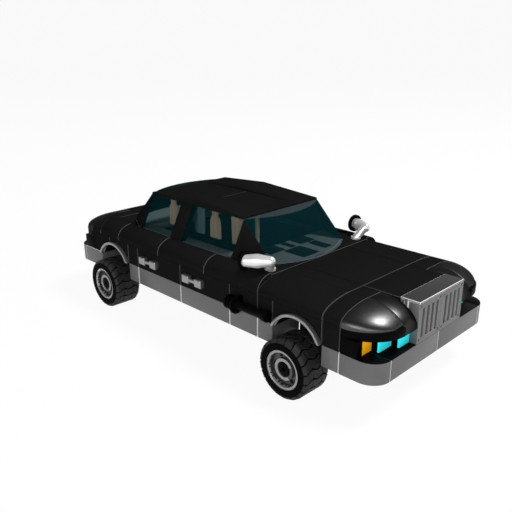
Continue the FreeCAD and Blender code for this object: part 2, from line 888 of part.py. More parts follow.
os.makedirs("parts", exist_ok=True)
save("chassis", [chassis()])
save("axle_blocks", both_ends([axle_block()]))
save("wheel_well_walls", wheel_well_walls())
right_sills = sills()
save("sills_right", right_sills)
save("sills_left", [other_side(shape) for shape in right_sills])
save("bumper_front", bumper(nose_studs))
save("bumper_rear", [other_end(shape) for shape in bumper(corner_studs)])
right_flank = flank()
save("flank_right", right_flank)
save("flank_left", [other_side(shape) for shape in right_flank])
save("arch_trims", arch_trims())
right_shoulder = shoulder()
save("shoulder_right", right_shoulder)
save("shoulder_left", [other_side(shape) for shape in right_shoulder])
save("fender_domes_front", both_sides([fender_dome()]))
save("fender_domes_rear", [other_end(shape) for shape in both_sides([fender_dome()])])
save("nose_slopes_front", both_sides([nose_slope()]))
save("nose_slopes_rear", [other_end(shape) for shape in both_sides([nose_slope()])])
save("lamp_shelves", both_ends(both_sides([lamp_shelf()])))
save("end_core_front", [end_core()])
save("end_core_rear", [other_end(end_core())])
save("lamps_orange", both_sides([lamp(2)]))
save("lamps_blue", both_sides([lamp(0), lamp(1)]))
save("tail_lamps", [other_end(shape) for shape in both_sides([lamp(0), lamp(1), lamp(2)])])
save("grille_box", [grille_box()])
save("grille_panels", both_sides([grille_panel()]))
save("tailgate_panels", both_sides([tailgate_panel()]))
save("bonnet", bonnet())
save("rear_deck", rear_deck())
save("cowls", [cowl(), mirrored_about_cabin(cowl())])
save("dash", [dash()])
save("parcel_shelf", [mirrored_about_cabin(dash())])
save("dash_tiles", dash_tiles())
save("windscreen", [windscreen()])
save("rear_window", [mirrored_about_cabin(windscreen())])
save("side_glass", side_glass())
save("pillars", pillars())
save("roof_front", [roof_half()])
save("roof_rear", [mirrored_about_cabin(roof_half())])
save("cabin_floor", cabin_floor())
save("window_ledges", window_ledges())
save("curtain_rail", [curtain_rail()])
save("curtains", curtains())
save("mirror_arms", both_sides([mirror_arm()]))
save("mirror_discs", both_sides([mirror_disc()]))
right_handles = [door_handle(rear_studs) for rear_studs in handle_studs]
save("door_handles", both_sides(right_handles))
save("side_bars", both_sides([side_bar()]))
save("wheel_holders", both_ends(both_sides([wheel_holder()])))
for end, x in (("front", axle_studs * pitch), ("rear", -axle_studs * pitch)):
    for name, side in (("right", -1), ("left", 1)):
        save("rim_" + end + "_" + name, [rim(x, side)])
        save("tyre_" + end + "_" + name, [tyre(x, side)])
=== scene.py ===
import json
import math
import bpy
from mathutils import Matrix, Vector


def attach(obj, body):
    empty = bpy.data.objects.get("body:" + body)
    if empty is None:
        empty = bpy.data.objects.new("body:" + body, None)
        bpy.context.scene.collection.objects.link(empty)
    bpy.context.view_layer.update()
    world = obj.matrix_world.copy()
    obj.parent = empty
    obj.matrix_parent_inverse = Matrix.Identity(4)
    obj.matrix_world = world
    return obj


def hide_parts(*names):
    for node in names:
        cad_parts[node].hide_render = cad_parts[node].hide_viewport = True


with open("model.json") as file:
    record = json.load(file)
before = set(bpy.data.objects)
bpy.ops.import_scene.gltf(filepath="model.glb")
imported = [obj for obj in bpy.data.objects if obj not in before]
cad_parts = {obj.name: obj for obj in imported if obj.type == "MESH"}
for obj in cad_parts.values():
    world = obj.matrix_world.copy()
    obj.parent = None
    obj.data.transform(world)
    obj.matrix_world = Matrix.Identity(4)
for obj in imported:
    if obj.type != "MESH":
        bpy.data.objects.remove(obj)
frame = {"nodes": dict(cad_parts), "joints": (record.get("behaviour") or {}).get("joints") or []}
bpy.ops.object.select_all(action="DESELECT")
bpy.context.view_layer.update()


# Camera. It looks down on the toy's front right corner, from the place and with the lens that
# fit the photograph's brick joints best.
camera_place = (0.19244, -0.19438, 0.12695)
camera_aim = Vector((-0.6639, 0.6686, -0.3349))
camera = bpy.data.objects.new("camera", bpy.data.cameras.new("camera"))
bpy.context.scene.collection.objects.link(camera)
camera.location = camera_place
camera.rotation_euler = camera_aim.to_track_quat("-Z", "Y").to_euler()
camera.data.sensor_width = 36
camera.data.lens = 42.87
camera.data.clip_start = 0.01
bpy.context.scene.camera = camera
bpy.context.scene.view_settings.view_transform = "Standard"


# Studio floor. A wide sweep of white matt paper, whose rim curls up round the toy on every side.
# It is plain white to the eye, in gloss and through glass, and still takes the toy's soft shadow.
floor_radius = 1.6
floor_drop = 0.00005
rim_steps = ((1.3, 0.03), (1.18, 0.12), (1.1, 0.35), (1.05, 0.60))
plain_white_share = 0.94
reach = 0.001
bpy.ops.mesh.primitive_circle_add(
    vertices=96, radius=floor_radius, fill_type="NGON", location=(0, 0, -floor_drop),
)
floor = bpy.context.object
floor.name = "paper_sweep"
bpy.ops.object.mode_set(mode="EDIT")
for widen, rise in rim_steps:
    bpy.ops.mesh.select_all(action="DESELECT")
    bpy.ops.object.mode_set(mode="OBJECT")
    rim_radius = max(v.co.xy.length for v in floor.data.vertices)
    for edge in floor.data.edges:
        ends = [floor.data.vertices[i].co.xy.length for i in edge.vertices]
        edge.select = min(ends) > rim_radius - reach
    bpy.ops.object.mode_set(mode="EDIT")
    bpy.ops.mesh.extrude_edges_move(TRANSFORM_OT_translate={"value": (0, 0, rise)})
    bpy.ops.transform.resize(value=(widen, widen, 1))
bpy.ops.object.mode_set(mode="OBJECT")
bpy.ops.object.shade_smooth()
paper = bpy.data.materials.new("white_paper")
paper.use_nodes = True
tree = paper.node_tree
tree.nodes.clear()
matt = tree.nodes.new("ShaderNodeBsdfDiffuse")
matt.inputs["Color"].default_value = (0.86, 0.86, 0.86, 1)
plain_white = tree.nodes.new("ShaderNodeEmission")
plain_white.inputs["Color"].default_value = (1, 1, 1, 1)
plain_white.inputs["Strength"].default_value = 1.0
light_path = tree.nodes.new("ShaderNodeLightPath")
eye_or_gloss = tree.nodes.new("ShaderNodeMath")
eye_or_gloss.operation = "MAXIMUM"
eye_gloss_or_glass = tree.nodes.new("ShaderNodeMath")
eye_gloss_or_glass.operation = "MAXIMUM"
white_share = tree.nodes.new("ShaderNodeMath")
white_share.operation = "MULTIPLY"
white_share.inputs[1].default_value = plain_white_share
mix = tree.nodes.new("ShaderNodeMixShader")
out = tree.nodes.new("ShaderNodeOutputMaterial")
tree.links.new(light_path.outputs["Is Camera Ray"], eye_or_gloss.inputs[0])
tree.links.new(light_path.outputs["Is Glossy Ray"], eye_or_gloss.inputs[1])
tree.links.new(eye_or_gloss.outputs[0], eye_gloss_or_glass.inputs[0])
tree.links.new(light_path.outputs["Is Transmission Ray"], eye_gloss_or_glass.inputs[1])
tree.links.new(eye_gloss_or_glass.outputs[0], white_share.inputs[0])
tree.links.new(white_share.outputs[0], mix.inputs["Fac"])
tree.links.new(matt.outputs[0], mix.inputs[1])
tree.links.new(plain_white.outputs[0], mix.inputs[2])
tree.links.new(mix.outputs[0], out.inputs["Surface"])
floor.data.materials.append(paper)


# Studio light. A dim even room, a round key lamp high over the toy's left front corner, a low
# lamp off its right front corner and a panel beside it. All of them face the toy's middle.
toy_middle = Vector((0, 0, 0.03))
world = bpy.data.worlds.new("room")
bpy.context.scene.world = world
world.use_nodes = True
world.node_tree.nodes["Background"].inputs["Color"].default_value = (0.95, 0.97, 1.0, 1)
world.node_tree.nodes["Background"].inputs["Strength"].default_value = 0.05
for name, shape, width, power, place in (
    ("key_lamp", "DISK", 0.38, 18.0, (0.430, 0.465, 1.125)),
    ("corner_lamp", "DISK", 0.70, 3.0, (0.98, -0.86, 0.20)),
    ("side_panel", "SQUARE", 0.70, 6.6, (0.28, -1.03, 0.42)),
):
    lamp = bpy.data.objects.new(name, bpy.data.lights.new(name, "AREA"))
    bpy.context.scene.collection.objects.link(lamp)
    lamp.data.shape = shape
    lamp.data.size = width
    lamp.data.energy = power
    lamp.location = place
    lamp.rotation_euler = (toy_middle - Vector(place)).to_track_quat("-Z", "Y").to_euler()


# Underside. The chassis plate, its axle blocks, the well walls and the cabin floor are plain black
# bricks, pressed together. Every brick of the toy leaves its mould with a fine grain and a small
# radius on each edge, so a copy of each solid gets those.
def skin_group():
    """The surface that all the toy's plastics share: a slow cloud, a fine grain and long scuffs."""
    group = bpy.data.node_groups.new("moulded_skin", "ShaderNodeTree")
    for name, way, kind in (
        ("Position", "INPUT", "NodeSocketVector"),
        ("Cloud Size", "INPUT", "NodeSocketFloat"),
        ("Grain Size", "INPUT", "NodeSocketFloat"),
        ("Cloud", "OUTPUT", "NodeSocketFloat"),
        ("Grain", "OUTPUT", "NodeSocketFloat"),
        ("Scuff", "OUTPUT", "NodeSocketFloat"),
    ):
        group.interface.new_socket(name=name, in_out=way, socket_type=kind)
    start = group.nodes.new("NodeGroupInput")
    end = group.nodes.new("NodeGroupOutput")
    cloud = group.nodes.new("ShaderNodeTexNoise")
    cloud.inputs["Detail"].default_value = 3
    grain = group.nodes.new("ShaderNodeTexNoise")
    grain.inputs["Detail"].default_value = 2
    stretch = group.nodes.new("ShaderNodeMapping")
    stretch.inputs["Scale"].default_value = (0.16, 1.1, 1.3)
    stretch.inputs["Rotation"].default_value = (0.3, 0.5, 0.7)
    scuff = group.nodes.new("ShaderNodeTexNoise")
    scuff.inputs["Detail"].default_value = 4
    scuff.inputs["Scale"].default_value = 900
    strongest = group.nodes.new("ShaderNodeMapRange")
    strongest.inputs["From Min"].default_value = 0.56
    strongest.inputs["From Max"].default_value = 0.72
    group.links.new(start.outputs["Position"], cloud.inputs["Vector"])
    group.links.new(start.outputs["Position"], grain.inputs["Vector"])
    group.links.new(start.outputs["Position"], stretch.inputs["Vector"])
    group.links.new(stretch.outputs[0], scuff.inputs["Vector"])
    group.links.new(start.outputs["Cloud Size"], cloud.inputs["Scale"])
    group.links.new(start.outputs["Grain Size"], grain.inputs["Scale"])
    group.links.new(scuff.outputs["Fac"], strongest.inputs["Value"])
    group.links.new(cloud.outputs["Fac"], end.inputs["Cloud"])
    group.links.new(grain.outputs["Fac"], end.inputs["Grain"])
    group.links.new(strongest.outputs[0], end.inputs["Scuff"])
    return group


moulded_skin = skin_group()


def moulded(
    name, colour, spread, rough, shine, grain=2600, depth=0.02, cloud=55, metal=0.0, scuffs=0.05,
):
    """A moulded finish: a colour that drifts by spread, a fine grain of some depth and faint
    handling scuffs. The cloud takes the roughness a little under and over its value."""
    smoother = 0.04
    rougher = 0.05
    grain_height = 0.0002
    material = bpy.data.materials.new(name)
    material.use_nodes = True
    tree = material.node_tree
    shader = tree.nodes["Principled BSDF"]
    place = tree.nodes.new("ShaderNodeTexCoord")
    skin = tree.nodes.new("ShaderNodeGroup")
    skin.node_tree = moulded_skin
    skin.inputs["Cloud Size"].default_value = cloud
    skin.inputs["Grain Size"].default_value = grain
    tree.links.new(place.outputs["Object"], skin.inputs["Position"])
    tint = tree.nodes.new("ShaderNodeMix")
    tint.data_type = "RGBA"
    tint.inputs["A"].default_value = [c * (1 - spread) for c in colour] + [1]
    tint.inputs["B"].default_value = [c * (1 + spread) for c in colour] + [1]
    tree.links.new(skin.outputs["Cloud"], tint.inputs["Factor"])
    tree.links.new(tint.outputs["Result"], shader.inputs["Base Color"])
    gloss = tree.nodes.new("ShaderNodeMapRange")
    gloss.inputs["To Min"].default_value = rough - smoother
    gloss.inputs["To Max"].default_value = rough + rougher
    scuffed = tree.nodes.new("ShaderNodeMath")
    scuffed.operation = "MULTIPLY_ADD"
    scuffed.inputs[1].default_value = scuffs
    tree.links.new(skin.outputs["Cloud"], gloss.inputs["Value"])
    tree.links.new(skin.outputs["Scuff"], scuffed.inputs[0])
    tree.links.new(gloss.outputs[0], scuffed.inputs[2])
    tree.links.new(scuffed.outputs[0], shader.inputs["Roughness"])
    bump = tree.nodes.new("ShaderNodeBump")
    bump.inputs["Strength"].default_value = depth
    bump.inputs["Distance"].default_value = grain_height
    tree.links.new(skin.outputs["Grain"], bump.inputs["Height"])
    tree.links.new(bump.outputs[0], shader.inputs["Normal"])
    shader.inputs["Metallic"].default_value = metal
    shader.inputs["Specular IOR Level"].default_value = shine
    return material


black_plastic = moulded("black_plastic", (0.0082, 0.0082, 0.0085), 0.15, 0.40, 0.0)


def copied(piece, name):
    """A new piece with its own copy of another one's mesh."""
    copy = bpy.data.objects.new(name, piece.data.copy())
    bpy.context.scene.collection.objects.link(copy)
    return copy


def pick(piece):
    """Makes one piece the only one that the next operators act on."""
    bpy.ops.object.select_all(action="DESELECT")
    piece.select_set(True)
    bpy.context.view_layer.objects.active = piece


def softened(
    node, name, material, width=0.00014, body="body", smooth=32, joints=(), edge=None,
):
    """A copy of a solid with every sharp edge rounded, shown in its place. Edges that lie along a
    joint with the next brick, given as (axis, place), carry the painted highlight given by edge."""
    merge_distance = 0.000002
    flat_within = math.radians(0.6)
    sharp_from = math.radians(30)
    joint_reach = 0.00015
    piece = copied(frame["nodes"][node], name)
    piece.data.materials.clear()
    piece.data.materials.append(material)
    piece.data.materials.append(edge or material)
    pick(piece)
    bpy.ops.mesh.customdata_custom_splitnormals_clear()
    bpy.ops.object.mode_set(mode="EDIT")
    bpy.ops.mesh.select_all(action="SELECT")
    bpy.ops.mesh.remove_doubles(threshold=merge_distance)
    bpy.ops.mesh.dissolve_limited(angle_limit=flat_within, delimit=set())
    bpy.ops.object.mode_set(mode="OBJECT")
    for face in piece.data.polygons:
        face.material_index = 0
    bevel = piece.modifiers.new("edge_radius", "BEVEL")
    bevel.width = width
    bevel.segments = 2
    bevel.limit_method = "ANGLE"
    bevel.angle_limit = sharp_from
    bevel.use_clamp_overlap = True
    bevel.material = 1
    bpy.ops.object.modifier_apply(modifier="edge_radius")
    # Bevel faces off the joints go back to the plain finish; those on them keep the painted highlight.
    for face in piece.data.polygons:
        on_joint = not joints or any(
            abs(face.center[axis] - place) < width + joint_reach for axis, place in joints
        )
        if face.material_index == 1 and not on_joint:
            face.material_index = 0
    bpy.ops.object.shade_smooth_by_angle(angle=math.radians(smooth))
    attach(piece, body)
    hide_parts(node)
    return piece


for node in ("chassis", "axle_blocks", "wheel_well_walls", "cabin_floor"):
    softened(node, node + "_bricks", black_plastic)


# Grey sills and bumpers. Plain grey bricks in a row, with round corner bricks at both bumpers,
# whose tops are painted near-black as shade. The joint edges carry a pale painted highlight.
stud = 0.008


def joints_along(*studs):
    """Joints across the car's length, counted in studs from its middle."""
    return [(0, count * stud) for count in studs]


grey_plastic = moulded("grey_plastic", (0.122, 0.122, 0.123), 0.04, 0.36, 0.15)
# Far paler than the grey bricks: a painted highlight along joints and the grille's edges.
grey_painted_highlight = moulded("grey_painted_highlight", (0.72, 0.72, 0.73), 0.05, 0.4, 0.4)
# Near-black, far darker than the body plastic: painted shade in hollows, under overhangs and round
# small fittings.
black_painted_shade = moulded("black_painted_shade", (0.0010, 0.0010, 0.0010), 0.3, 0.50, 0.03)
for node in ("sills_right", "sills_left"):
    softened(
        node, node + "_bricks", grey_plastic, width=0.0002,
        joints=joints_along(-11, -10, -5, -1, 3, 5, 10), edge=grey_painted_highlight,
    )
across_bumper = [(1, -4 * stud), (1, 0), (1, 4 * stud)]
shaded_above_normal_z = 0.3
for node, inner_joint in (("bumper_front", 10), ("bumper_rear", -11)):
    bumper = softened(
        node, node + "_bricks", grey_plastic, width=0.0002,
        joints=joints_along(inner_joint) + across_bumper, edge=grey_painted_highlight,
    )
    # The bumper's upward faces are painted near-black: painted shade under the blocks above them.
    bumper.data.materials.append(black_painted_shade)
    for face in bumper.data.polygons:
        if face.normal.z > shaded_above_normal_z:
            face.material_index = 2


# Flanks and shoulders. Black bricks in rows, cut round above the wheels, under curved bricks.
# Their joint edges carry a painted highlight too, a faint one that stays dark.
# Paler than the black bricks: a painted highlight along their joints.
black_painted_highlight = moulded("black_painted_highlight", (0.065, 0.065, 0.067), 0.3, 0.4, 0.1)
for node in ("flank_right", "flank_left"):
    softened(
        node, node + "_bricks", black_plastic, width=0.0002,
        joints=joints_along(-8, -6, -5, -1, 3, 5, 6, 9, 10), edge=black_painted_highlight,
    )
for node in ("shoulder_right", "shoulder_left"):
    softened(
        node, node + "_bricks", black_plastic, width=0.0002,
        joints=joints_along(-10, -9, -7, -3, 1, 5, 9, 10), edge=black_painted_highlight,
    )


# Ends. Glossy domed fenders and nose slopes, the plates of both decks, and the stepped blocks
# behind the lamps with their shelf plates. The deck's rear end leans down to meet the tailgate.
deck_end_x = -0.087
deck_top_from_z = 0.039
tailgate_half_width = 0.0165
deck_lean = 0.0012
for name, tone, ends in (("dome_black", 0.080, "fender_domes"), ("slope_black", 0.048, "nose_slopes")):
    gloss_black = moulded(
        name, (tone, tone, tone * 1.02), 0.10, 0.32, 0.5, depth=0.004, metal=0.93, scuffs=0.02,
    )
    gloss_shader = gloss_black.node_tree.nodes["Principled BSDF"]
    gloss_shader.inputs["Specular Tint"].default_value = (0, 0, 0, 1)
    for node in (ends + "_front", ends + "_rear"):
        softened(
            node, node + "_bricks", gloss_black, width=0.00018, smooth=40,
            joints=joints_along(-10, 10), edge=black_painted_highlight,
        )
for node in ("bonnet", "rear_deck", "cowls"):
    plates = softened(
        node, node + "_bricks", black_plastic,
        joints=joints_along(-9, 5, 9, 10), edge=black_painted_highlight,
    )
    for vertex in plates.data.vertices:
        at_tailgate = vertex.co.x < deck_end_x and abs(vertex.co.y) < tailgate_half_width
        if at_tailgate and vertex.co.z > deck_top_from_z:
            vertex.co.z -= deck_lean
# The blocks and shelf plates in the hollows under the domes are painted near-black: painted shade.
for node in ("lamp_shelves", "end_core_front", "end_core_rear"):
    softened(node, node + "_bricks", black_painted_shade)


# Tailgate. Two plain black panels side by side, rounded over at the top along the same ellipse
# as the slopes that flank them.
panel_rear_x = -0.096
panel_front_x = -0.088
panel_foot = 0.0241
panel_top = 0.0389
panel_width = 0.01594
panel_round = 0.0078
ellipse_x = 0.080
ellipse_foot = 0.0305
ellipse_run = 0.016
ellipse_rise = 0.0096
panel_middle = ((panel_rear_x + panel_front_x) / 2, 0, (panel_foot + panel_top) / 2)
panel_size = (panel_front_x - panel_rear_x, panel_width, panel_top - panel_foot, 1)
bpy.ops.object.select_all(action="DESELECT")
bpy.ops.mesh.primitive_cube_add(size=1, location=(0, 0, 0))
middle_panel = bpy.context.object
middle_panel.data.transform(Matrix.Translation(panel_middle) @ Matrix.Diagonal(panel_size))
bpy.ops.object.mode_set(mode="EDIT")
bpy.ops.mesh.select_mode(type="EDGE")
bpy.ops.mesh.select_all(action="DESELECT")
bpy.ops.object.mode_set(mode="OBJECT")
for edge in middle_panel.data.edges:
    ends = [middle_panel.data.vertices[i].co for i in edge.vertices]
    edge.select = all(c.x < panel_rear_x + reach and c.z > panel_top - reach for c in ends)
bpy.ops.object.mode_set(mode="EDIT")
bpy.ops.mesh.bevel(offset=panel_round, segments=14, affect="EDGES")
bpy.ops.object.mode_set(mode="OBJECT")
for vertex in middle_panel.data.vertices:
    along = (-vertex.co.x - ellipse_x) / ellipse_run
    if vertex.co.z > ellipse_foot:
        vertex.co.z = ellipse_foot + ellipse_rise * math.sqrt(max(0.0, 1 - along * along))
soft = middle_panel.modifiers.new("edge_radius", "BEVEL")
soft.width = 0.00015
soft.segments = 2
soft.angle_limit = math.radians(30)
bpy.ops.object.modifier_apply(modifier="edge_radius")
bpy.ops.object.shade_smooth_by_angle(angle=math.radians(32))
middle_panel.data.materials.append(black_plastic)
for side, y in (("right", -stud), ("left", stud)):
    panel = copied(middle_panel, "tailgate_panel_" + side)
    panel.data.transform(Matrix.Translation((0, y, 0)))
    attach(panel, "body")
    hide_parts("tailgate_panels")
bpy.data.objects.remove(middle_panel)


# Lamps. Thin plates of tinted clear plastic on the steps at the corners: orange and light blue in
# front, red behind. They carry a faint painted glow of their own colour, though no lamp is in them.
for colour, node, slot in (
    ((0.90, 0.40, 0.004), "lamps_orange", "lamp_orange"),
    ((0.035, 0.82, 0.92), "lamps_blue", "lamp_blue"),
    ((0.50, 0.012, 0.012), "tail_lamps", "lamp_red"),
):
    lens = moulded(slot + "_plastic", colour, 0.06, 0.25, 0.2, depth=0.01)
    lens_shader = lens.node_tree.nodes["Principled BSDF"]
    # Painted glow: the lenses give off a little light of their own colour.
    lens_shader.inputs["Emission Color"].default_value = colour + (1,)
    lens_shader.inputs["Emission Strength"].default_value = 0.3
    softened(node, node + "_lenses", lens, width=0.00015)


# Bright trim. Silvered mouldings: lightest on the mirror arms, as a painted highlight, duller on
# the arch rings and the door handles, and dullest on the grille, whose edges carry a pale painted
# highlight and whose upward faces are painted dark as shade.
# Dark and not silvered: painted shade for the grille's upward faces.
grille_top_painted_shade = moulded("grille_top_painted_shade", (0.038, 0.038, 0.039), 0.06, 0.50, 0.05, depth=0.003)
trim_silver = moulded("trim_silver", (0.28, 0.28, 0.283), 0.04, 0.30, 0.4, depth=0.003, metal=0.7)
dull_silver = moulded("dull_silver", (0.17, 0.17, 0.173), 0.04, 0.55, 0.4, depth=0.003, metal=0.6)
# Far lighter than the other silvers: a painted highlight on the mirror arms.
mirror_silver_painted_highlight = moulded(
    "mirror_silver_painted_highlight", (0.78, 0.78, 0.785), 0.04, 0.30, 0.5, depth=0.003, metal=0.5,
)
level_normal_z = 0.95
softened("mirror_arms", "mirror_arms_bright", mirror_silver_painted_highlight, width=0.0001)
for node, width in (("arch_trims", 0.0005), ("door_handles", 0.00015)):
    softened(node, node + "_bright", trim_silver, width=width)
for node, width in (("grille_box", 0.0004), ("grille_panels", 0.0003)):
    grille = softened(
        node, node + "_bright", dull_silver, width=width, edge=grey_painted_highlight,
    )
    grille.data.materials.append(grille_top_painted_shade)
    # Faces that point up take the painted shade.
    for face in grille.data.polygons:
        if face.normal.z > level_normal_z:
            face.material_index = 2


# Cabin. Roof halves and pillars in black, with dark tiles on a grey dash. The parcel shelf and the
# right window ledge are pale. The left ledge is the same pale moulding, painted black as shade.
# A painted highlight along the middle joint of the roof halves.
roof_painted_highlight = moulded("roof_painted_highlight", (0.035, 0.035, 0.036), 0.3, 0.4, 0.1)
highlight_from_y = -0.010
highlight_to_y = 0.006
for node in ("roof_front", "roof_rear"):
    roof = softened(
        node, node + "_bricks", black_plastic, smooth=3,
        joints=joints_along(-2), edge=roof_painted_highlight,
    )
    for face in roof.data.polygons:
        if not highlight_from_y < face.center.y < highlight_to_y:
            face.material_index = 0
for node in ("pillars", "dash_tiles", "curtain_rail"):
    softened(node, node + "_bricks", black_plastic)
pale_plastic = moulded("pale_plastic", (0.36, 0.37, 0.38), 0.03, 0.35, 0.1)
dash_plastic = moulded("dash_plastic", (0.23, 0.22, 0.22), 0.03, 0.35, 0.1)
for node, plastic in (
    ("dash", dash_plastic), ("parcel_shelf", pale_plastic), ("window_ledges", pale_plastic),
):
    shelf = softened(node, node + "_bricks", plastic)
    # The left ledge's faces take black instead of pale: painted shade.
    shelf.data.materials[1] = black_plastic
    for face in shelf.data.polygons:
        face.material_index = int(node == "window_ledges" and face.center.y > 0)


# Trough ends. Four thin black plates that close the hollows beside the cabin floor, and over the
# well walls, towards the wheels.
plate_middle = (0.0475, 0.0242, 0.0307)
plate_size = (0.0008, 0.0186, 0.0130, 1)
bpy.ops.object.select_all(action="DESELECT")
bpy.ops.mesh.primitive_cube_add(size=1, location=(0, 0, 0))
first_plate = bpy.context.object
first_plate.data.transform(Matrix.Translation(plate_middle) @ Matrix.Diagonal(plate_size))
first_plate.data.materials.append(black_plastic)
for end, mirror_x in (("front", 1), ("rear", -1)):
    for side, mirror_y in (("left", 1), ("right", -1)):
        plate = copied(first_plate, "trough_end_" + end + "_" + side)
        plate.data.transform(Matrix.Diagonal((mirror_x, mirror_y, 1, 1)))
        if mirror_x * mirror_y < 0:
            plate.data.flip_normals()
        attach(plate, "body")
bpy.data.objects.remove(first_plate)


# Curtains. Tan mouldings that hang from a black rail: two with a tied neck and round shoulders,
# and plain pleated falls between and beside them. The plain one at the rear is painted grey-teal:
# the painted shade and tint of the two panes in front of it.
tan = moulded("tan_curtain", (0.90, 0.60, 0.40), 0.08, 0.7, 0.1, grain=1500, depth=0.15)
# Grey-teal instead of tan: painted shade and tint of the glass in front of this curtain.
curtain_glass_shade = moulded("curtain_painted_glass_shade", (0.22, 0.28, 0.28), 0.08, 0.7, 0.1, grain=1500, depth=0.15)
pleat_depth = 0.0003
pleat_rate = 9.5
side_roundness = 0.6
core_share = 0.8

# Each outline gives height, half width and half depth, from the foot to the rail.
tied = (
    (0.0421, 0.00370, 0.00100), (0.0450, 0.00375, 0.00100), (0.0480, 0.00370, 0.00100),
    (0.0500, 0.00350, 0.00100), (0.0512, 0.00300, 0.00095), (0.0520, 0.00220, 0.00090),
    (0.0525, 0.00170, 0.00085), (0.0531, 0.00165, 0.00085), (0.0537, 0.00195, 0.00090),
    (0.0545, 0.00195, 0.00090),
)
plain = (
    (0.0421, 0.00330, 0.00080), (0.0450, 0.00350, 0.00085), (0.0480, 0.00360, 0.00090),
    (0.0510, 0.00365, 0.00095), (0.0545, 0.00370, 0.00095),
)
shapes = []
for outline, pleat_start in ((tied, 0), (plain, 1.2)):
    bpy.ops.mesh.primitive_circle_add(vertices=48, radius=0.001, fill_type="NGON")
    shape = bpy.context.object
    bpy.ops.object.mode_set(mode="EDIT")
    bpy.ops.mesh.select_all(action="SELECT")
    heights = [height for height, *_ in outline]
    for below, above in zip(heights, heights[1:]):
        bpy.ops.mesh.extrude_region_move(TRANSFORM_OT_translate={"value": (0, 0, above - below)})
    bpy.ops.mesh.select_all(action="SELECT")
    bpy.ops.mesh.normals_make_consistent(inside=False)
    bpy.ops.object.mode_set(mode="OBJECT")
    rings = sorted({round(v.co.z, 5) for v in shape.data.vertices})
    for vertex in shape.data.vertices:
        z, half_width, half_depth = outline[rings.index(round(vertex.co.z, 5))]
        angle = math.atan2(vertex.co.y, vertex.co.x)
        along = math.cos(angle)
        across = math.sin(angle)
        pleat = pleat_depth * math.cos(along * pleat_rate + pleat_start) * math.sqrt(abs(across))
        round_side = math.copysign(abs(across) ** side_roundness, across)
        depth = round_side * half_depth * core_share + pleat * math.copysign(1, round_side)
        vertex.co = (along * half_width, depth, z)
    pick(shape)
    bpy.ops.object.shade_smooth_by_angle(angle=math.radians(50))
    shapes.append(shape)
tied_shape, plain_shape = shapes
for name, shape, cloth, x, y, turn in (
    ("rear_tied", tied_shape, tan, -0.0364, -0.020, 0),
    ("rear_plain", plain_shape, curtain_glass_shade, -0.0172, -0.020, 0),
    ("front_tied", tied_shape, tan, -0.0064, -0.020, 0),
    ("front_plain", plain_shape, tan, 0.0080, -0.020, 0),
    ("corner_plain", plain_shape, tan, 0.0112, -0.011, -45),
):
    curtain = copied(shape, "curtain_" + name)
    place = Matrix.Translation((x, y, 0))
    curtain.data.transform(place @ Matrix.Rotation(math.radians(turn), 4, "Z"))
    curtain.data.materials.append(cloth)
    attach(curtain, "body")
    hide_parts("curtains")
for shape in shapes:
    bpy.data.objects.remove(shape)


# Windows. One curved moulding at each end and flat panes at the sides, in dark teal smoked
# plastic. Each face hides about half of what is behind it. The rear window and the left panes
# are painted darker and nearly opaque, as shade. The flat top of the windscreen is painted
# lighter, a painted reflection of the light above it.
def smoked(name, colour, cover):
    """A clear plastic with smoke in it, which covers that share of what is behind each face."""
    tint_spread = 0.07
    cover_spread = 0.02
    material = bpy.data.materials.new(name)
    material.use_nodes = True
    tree = material.node_tree
    shader = tree.nodes["Principled BSDF"]
    place = tree.nodes.new("ShaderNodeTexCoord")
    skin = tree.nodes.new("ShaderNodeGroup")
    skin.node_tree = moulded_skin
    skin.inputs["Cloud Size"].default_value = 40
    skin.inputs["Grain Size"].default_value = 700
    tint = tree.nodes.new("ShaderNodeMix")
    tint.data_type = "RGBA"
    tint.inputs["A"].default_value = [c * (1 - tint_spread) for c in colour] + [1]
    tint.inputs["B"].default_value = [c * (1 + tint_spread) for c in colour] + [1]
    smoke = tree.nodes.new("ShaderNodeMapRange")
    smoke.inputs["To Min"].default_value = cover - cover_spread
    smoke.inputs["To Max"].default_value = cover + cover_spread
    gloss = tree.nodes.new("ShaderNodeMapRange")
    gloss.inputs["To Min"].default_value = 0.05
    gloss.inputs["To Max"].default_value = 0.12
    tree.links.new(place.outputs["Object"], skin.inputs["Position"])
    tree.links.new(skin.outputs["Cloud"], tint.inputs["Factor"])
    tree.links.new(tint.outputs["Result"], shader.inputs["Base Color"])
    tree.links.new(skin.outputs["Cloud"], smoke.inputs["Value"])
    tree.links.new(smoke.outputs[0], shader.inputs["Alpha"])
    tree.links.new(skin.outputs["Scuff"], gloss.inputs["Value"])
    tree.links.new(gloss.outputs[0], shader.inputs["Roughness"])
    shader.inputs["Metallic"].default_value = 0
    shader.inputs["Transmission Weight"].default_value = 0
    shader.inputs["Specular IOR Level"].default_value = 0.0
    clear = tree.nodes.new("ShaderNodeBsdfTransparent")
    clear.inputs["Color"].default_value = (0.78, 0.9, 0.92, 1)
    light_path = tree.nodes.new("ShaderNodeLightPath")
    mix = tree.nodes.new("ShaderNodeMixShader")
    tree.links.new(light_path.outputs["Is Shadow Ray"], mix.inputs["Fac"])
    tree.links.new(shader.outputs[0], mix.inputs[1])
    tree.links.new(clear.outputs[0], mix.inputs[2])
    tree.links.new(mix.outputs[0], tree.nodes["Material Output"].inputs["Surface"])
    return material


smoked_teal = smoked("smoked_teal", (0.0022, 0.0165, 0.0205), 0.47)
# Nearly opaque and darker: painted shade for the rear window and the far panes.
teal_painted_shade = smoked("teal_painted_shade", (0.0045, 0.0140, 0.0165), 0.95)
